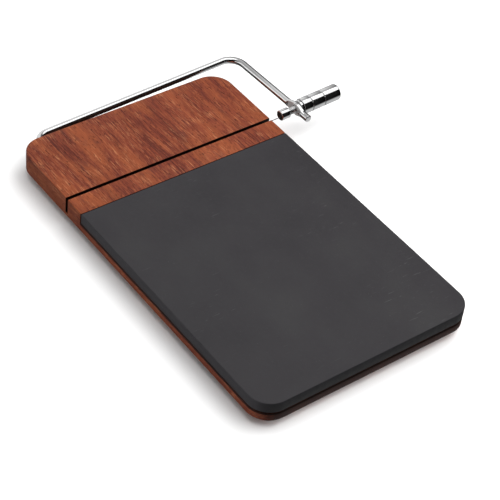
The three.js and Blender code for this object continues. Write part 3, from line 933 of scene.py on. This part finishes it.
def collar():
    outline = rounded([
        (COLLAR_START, EYE_HOLE_RADIUS, 0), (COLLAR_START, COLLAR_RADIUS, 0.35),
        (COLLAR_END, COLLAR_RADIUS, 0.35), (COLLAR_END, EYE_HOLE_RADIUS, 0.15),
        (COLLAR_START, EYE_HOLE_RADIUS, 0),
    ])[:-1]
    bm = turned(outline, closed=True)
    bm.transform(Matrix.Translation((0, KERF_Y, 0)))
    add_piece("collar", bm, BOW, "bow", "thrust_collar", [KNOB_CHROME])


def knob():
    corners = [(KNOB_START, KNOB_BORE_RADIUS, 0), (KNOB_START, KNOB_RADIUS, 0.45)]
    for groove in KNOB_GROOVES:
        middle = KNOB_START + groove
        for side, half_width, depth, rounding in (
            (-1, GROOVE_HALF_WIDTH, 0, 0.1), (-1, GROOVE_FLOOR_HALF_WIDTH, GROOVE_DEPTH, 0.05),
            (1, GROOVE_FLOOR_HALF_WIDTH, GROOVE_DEPTH, 0.05), (1, GROOVE_HALF_WIDTH, 0, 0.1),
        ):
            corners.append((middle + side * half_width, KNOB_RADIUS - depth, rounding))
    outline = rounded(corners + [(KNOB_END, KNOB_RADIUS, 0)])[:-1]
    for k in range(13):
        angle = math.pi / 2 * k / 12
        outline.append((KNOB_END - KNOB_END_RADIUS * (1 - math.sin(angle)),
                        KNOB_RADIUS - KNOB_END_RADIUS * (1 - math.cos(angle))))
    bore_floor = KNOB_START + KNOB_BORE_DEPTH
    outline += [(KNOB_END, 0.01), (bore_floor + 0.6, 0.01), (bore_floor, KNOB_BORE_RADIUS)]
    bm = turned(outline, sides=120, closed=True)
    bm.transform(Matrix.Translation((0, KERF_Y, 0)))
    add_piece("knob", bm, BOW, "knob", "tension_knob", [KNOB_CHROME])


wood_board()
stone_slab()
slab_bond()
for label, x, y in FEET:
    foot(label, x, y)
bow()
wire()
bead("pivot_bead", PIVOT_BEAD, "bow", "wire_bead_pivot")
bead("holder_bead", HOLDER_BEAD, "holder", "wire_bead_holder")
holder()
collar()
knob()


# ---- studio, in metres --------------------------------------------------------------------

FLOOR_RADIUS = 2.0
ROOM_LIGHT = 0.60
WHITE = 1.1  # what the camera sees past the floor
# How bright reflections find the walls, by the X of their direction.
WALLS = ((-0.80, 0.80), (-0.70, 0.92), (-0.52, 0.92), (-0.42, 0.62), (-0.20, 0.62),
         (-0.10, 1.0), (0.46, 0.98), (0.53, 0.50), (0.59, 0.16))

CAMERA_AT = Vector((-0.50764, -0.57634, 0.68833))
CAMERA_AIM = Vector((0.47930, 0.55628, -0.67884))
CAMERA_ROLL = math.radians(6.775)
CAMERA_LENS = 121.22
SENSOR_WIDTH = 36


def floor():
    """A pale flat floor, wide enough to fade into the white around it."""
    bm = bmesh.new()
    bmesh.ops.create_circle(bm, cap_ends=True, segments=96, radius=FLOOR_RADIUS)
    mesh = mesh_of(bm, "floor")
    mesh.materials.append(Look("pale_floor").finish((0.96, 0.96, 0.96), 0.9, specular=0.1))
    obj = put_in_scene("floor", mesh)
    obj.visible_glossy = False


def shade_under_board():
    """What polished metal close to the board sees under it: the dark of its own shadow."""
    low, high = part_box("wood_board")
    height, past_back = 0.001, 0.032
    outline = [(low.x, low.y), (high.x, low.y), (high.x, high.y - 0.02),
               (high.x - 0.025, high.y + past_back), (low.x, high.y + past_back)]
    bm = bmesh.new()
    bm.faces.new([bm.verts.new((x, y, height)) for x, y in outline])
    mesh = mesh_of(bm, "shade_under_board")
    mesh.materials.append(Look("shade").finish((0.01, 0.006, 0.006), 0.9, specular=0.0))
    obj = put_in_scene("shade_under_board", mesh)
    obj.visible_camera = obj.visible_diffuse = obj.visible_shadow = False
    obj.visible_transmission = False


def softbox(name, at, towards, size, radiance, in_reflections=True):
    light = bpy.data.lights.new(name, "AREA")
    light.shape = "RECTANGLE"
    light.size, light.size_y = size
    light.energy = radiance * math.pi * size[0] * size[1]
    obj = put_in_scene(name, light)
    obj.location = at
    obj.rotation_euler = (Vector(towards) - Vector(at)).to_track_quat("-Z", "Y").to_euler()
    obj.visible_glossy = in_reflections
    obj.visible_camera = False


def surroundings():
    """White to look at, dim to light with; reflections see a grey room, dark in front."""
    world = bpy.data.worlds.new("studio")
    bpy.context.scene.world = world
    world.use_nodes = True
    nodes = Nodes(world.node_tree)
    direction = nodes.node("TexCoord").outputs["Generated"]
    x, y, z = nodes.axes(direction)

    # Above, a room that is dark in front, with brighter and dimmer walls from left to right.
    walls = nodes.ramp(nodes.span(x, -1, 1),
                       *[((at + 1) / 2, (level,) * 3) for at, level in WALLS])
    room = nodes.math("MULTIPLY", nodes.span(y, -0.30, 0.45, 0.019, 1.0, True), walls)
    far_wall = nodes.span(y, 0.63, 0.70, 0.64, 1.0, True)
    room = nodes.math("MULTIPLY", room, far_wall)
    # Below, a table that is darker to the left and towards the back.
    table = nodes.math("MULTIPLY", nodes.span(x, -0.60, 0.40, 0.12, 0.66, True),
                       nodes.span(y, 0.10, 0.45, 1.0, 0.30, True))
    is_below = nodes.span(z, -0.26, -0.58, 0.0, 1.0, True)
    reflected = nodes.mix_levels(is_below, room, table)

    # The room's own light comes more from the right and from behind.
    from_right = nodes.vector("DOT_PRODUCT", direction, (0.8, 0.6, 0.0))
    room_light = nodes.span(from_right, -0.7, 0.6, 0.25 * ROOM_LIGHT, 1.7 * ROOM_LIGHT, True)

    path = nodes.node("LightPath").outputs
    level = nodes.mix_levels(path["Is Glossy Ray"], room_light, reflected)
    level = nodes.mix_levels(path["Is Camera Ray"], level, WHITE)
    background = nodes.tree.nodes["Background"]
    nodes.link((1, 1, 1, 1), background.inputs["Color"])
    nodes.link(level, background.inputs["Strength"])


def camera():
    data = bpy.data.cameras.new("camera")
    data.lens, data.sensor_width = CAMERA_LENS, SENSOR_WIDTH
    data.dof.use_dof = False
    obj = put_in_scene("camera", data)
    aim = CAMERA_AIM.to_track_quat("-Z", "Y").to_matrix().to_4x4()
    obj.matrix_world = Matrix.Translation(CAMERA_AT) @ aim @ Matrix.Rotation(CAMERA_ROLL, 4, "Z")
    bpy.context.scene.camera = obj


floor()
shade_under_board()
surroundings()
softbox("overhead", at=(0.40, -0.02, 1.0), towards=(0.40, -0.02, 0), size=(1.5, 0.86),
        radiance=1.7)
softbox("key", at=(0.72, -0.32, 1.0), towards=(0, 0, 0), size=(2.3, 1.2), radiance=1.9,
        in_reflections=False)
softbox("left_card", at=(-1.3, 0.3, 0.30), towards=(0, 0.1, 0), size=(1.8, 0.55), radiance=0.9)
camera()
bpy.context.scene.view_settings.view_transform = "Standard"
